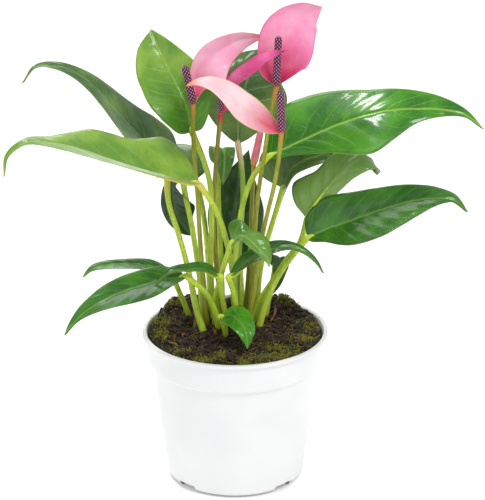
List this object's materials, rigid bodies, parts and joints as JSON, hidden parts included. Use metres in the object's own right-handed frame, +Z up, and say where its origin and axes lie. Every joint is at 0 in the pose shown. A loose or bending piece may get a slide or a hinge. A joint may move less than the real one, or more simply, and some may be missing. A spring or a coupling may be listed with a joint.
{
  "type": "potted anthurium",
  "caption": "Flamingo flower in a white nursery pot: heart-shaped leaves on kneed stalks, pink spathes with dark purple spadices.",
  "frame": {"origin": "middle of the pot's underside, on the surface that it stands on", "axes": "+Z up, -Y towards the front of the plant, +X to its right as seen from the front"},
  "size_m": [0.298, 0.161, 0.3181],
  "materials": {
    "pot": "satin",
    "soil": "rough",
    "leaf_light": "satin",
    "leaf_bright": "gloss",
    "leaf_dark": "gloss",
    "leaf_blue": "satin",
    "stalk": "satin",
    "flower_stem": "satin",
    "spathe_pink": "gloss",
    "spathe_pale": "gloss",
    "spathe_hot": "gloss",
    "spadix": "matte",
    "sheath": "matte"
  },
  "bodies": {
    "root": {"bud_stem": "flower_stem", "centre_drooping_leaf": "leaf_light", "centre_drooping_stalk": "stalk", "front_flower_stem": "flower_stem", "front_small_leaf": "leaf_bright", "front_small_stalk": "stalk", "front_spadix": "spadix", "front_spathe": "spathe_pale", "hanging_rear_leaf": "leaf_blue", "hanging_rear_stalk": "stalk", "inner_rear_leaf": "leaf_blue", "inner_rear_stalk": "stalk", "left_arching_leaf": "leaf_light", "left_arching_stalk": "stalk", "left_dark_leaf": "leaf_blue", "left_dark_stalk": "stalk", "left_flower_stem": "flower_stem", "left_old_sheath": "sheath", "left_spadix": "spadix", "left_spathe": "spathe_pink", "low_left_leaf": "leaf_dark", "low_left_rear_leaf": "leaf_dark", "low_left_rear_stalk": "stalk", "low_left_stalk": "stalk", "low_right_rear_leaf": "leaf_dark", "low_right_rear_stalk": "stalk", "middle_old_sheath": "sheath", "narrow_left_leaf": "leaf_dark", "narrow_left_stalk": "stalk", "narrow_right_leaf": "leaf_dark", "narrow_right_stalk": "stalk", "pot": "pot", "rear_flower_stem": "flower_stem", "rear_high_leaf": "leaf_blue", "rear_high_stalk": "stalk", "rear_low_leaf": "leaf_blue", "rear_low_stalk": "stalk", "rear_spadix": "spadix", "rear_spathe": "spathe_hot", "right_hooked_leaf": "leaf_blue", "right_hooked_stalk": "stalk", "right_lower_leaf": "leaf_dark", "right_lower_stalk": "stalk", "right_twisted_leaf": "leaf_light", "right_twisted_stalk": "stalk", "rolled_bud": "spathe_hot", "soil": "soil", "top_back_leaf": "leaf_blue", "top_back_stalk": "stalk", "top_flower_stem": "flower_stem", "top_left_leaf": "leaf_light", "top_left_stalk": "stalk", "top_right_leaf": "leaf_bright", "top_right_stalk": "stalk", "top_spadix": "spadix", "top_spathe": "spathe_pink", "upright_rear_leaf": "leaf_blue", "upright_rear_stalk": "stalk"}
  },
  "joints": []
}
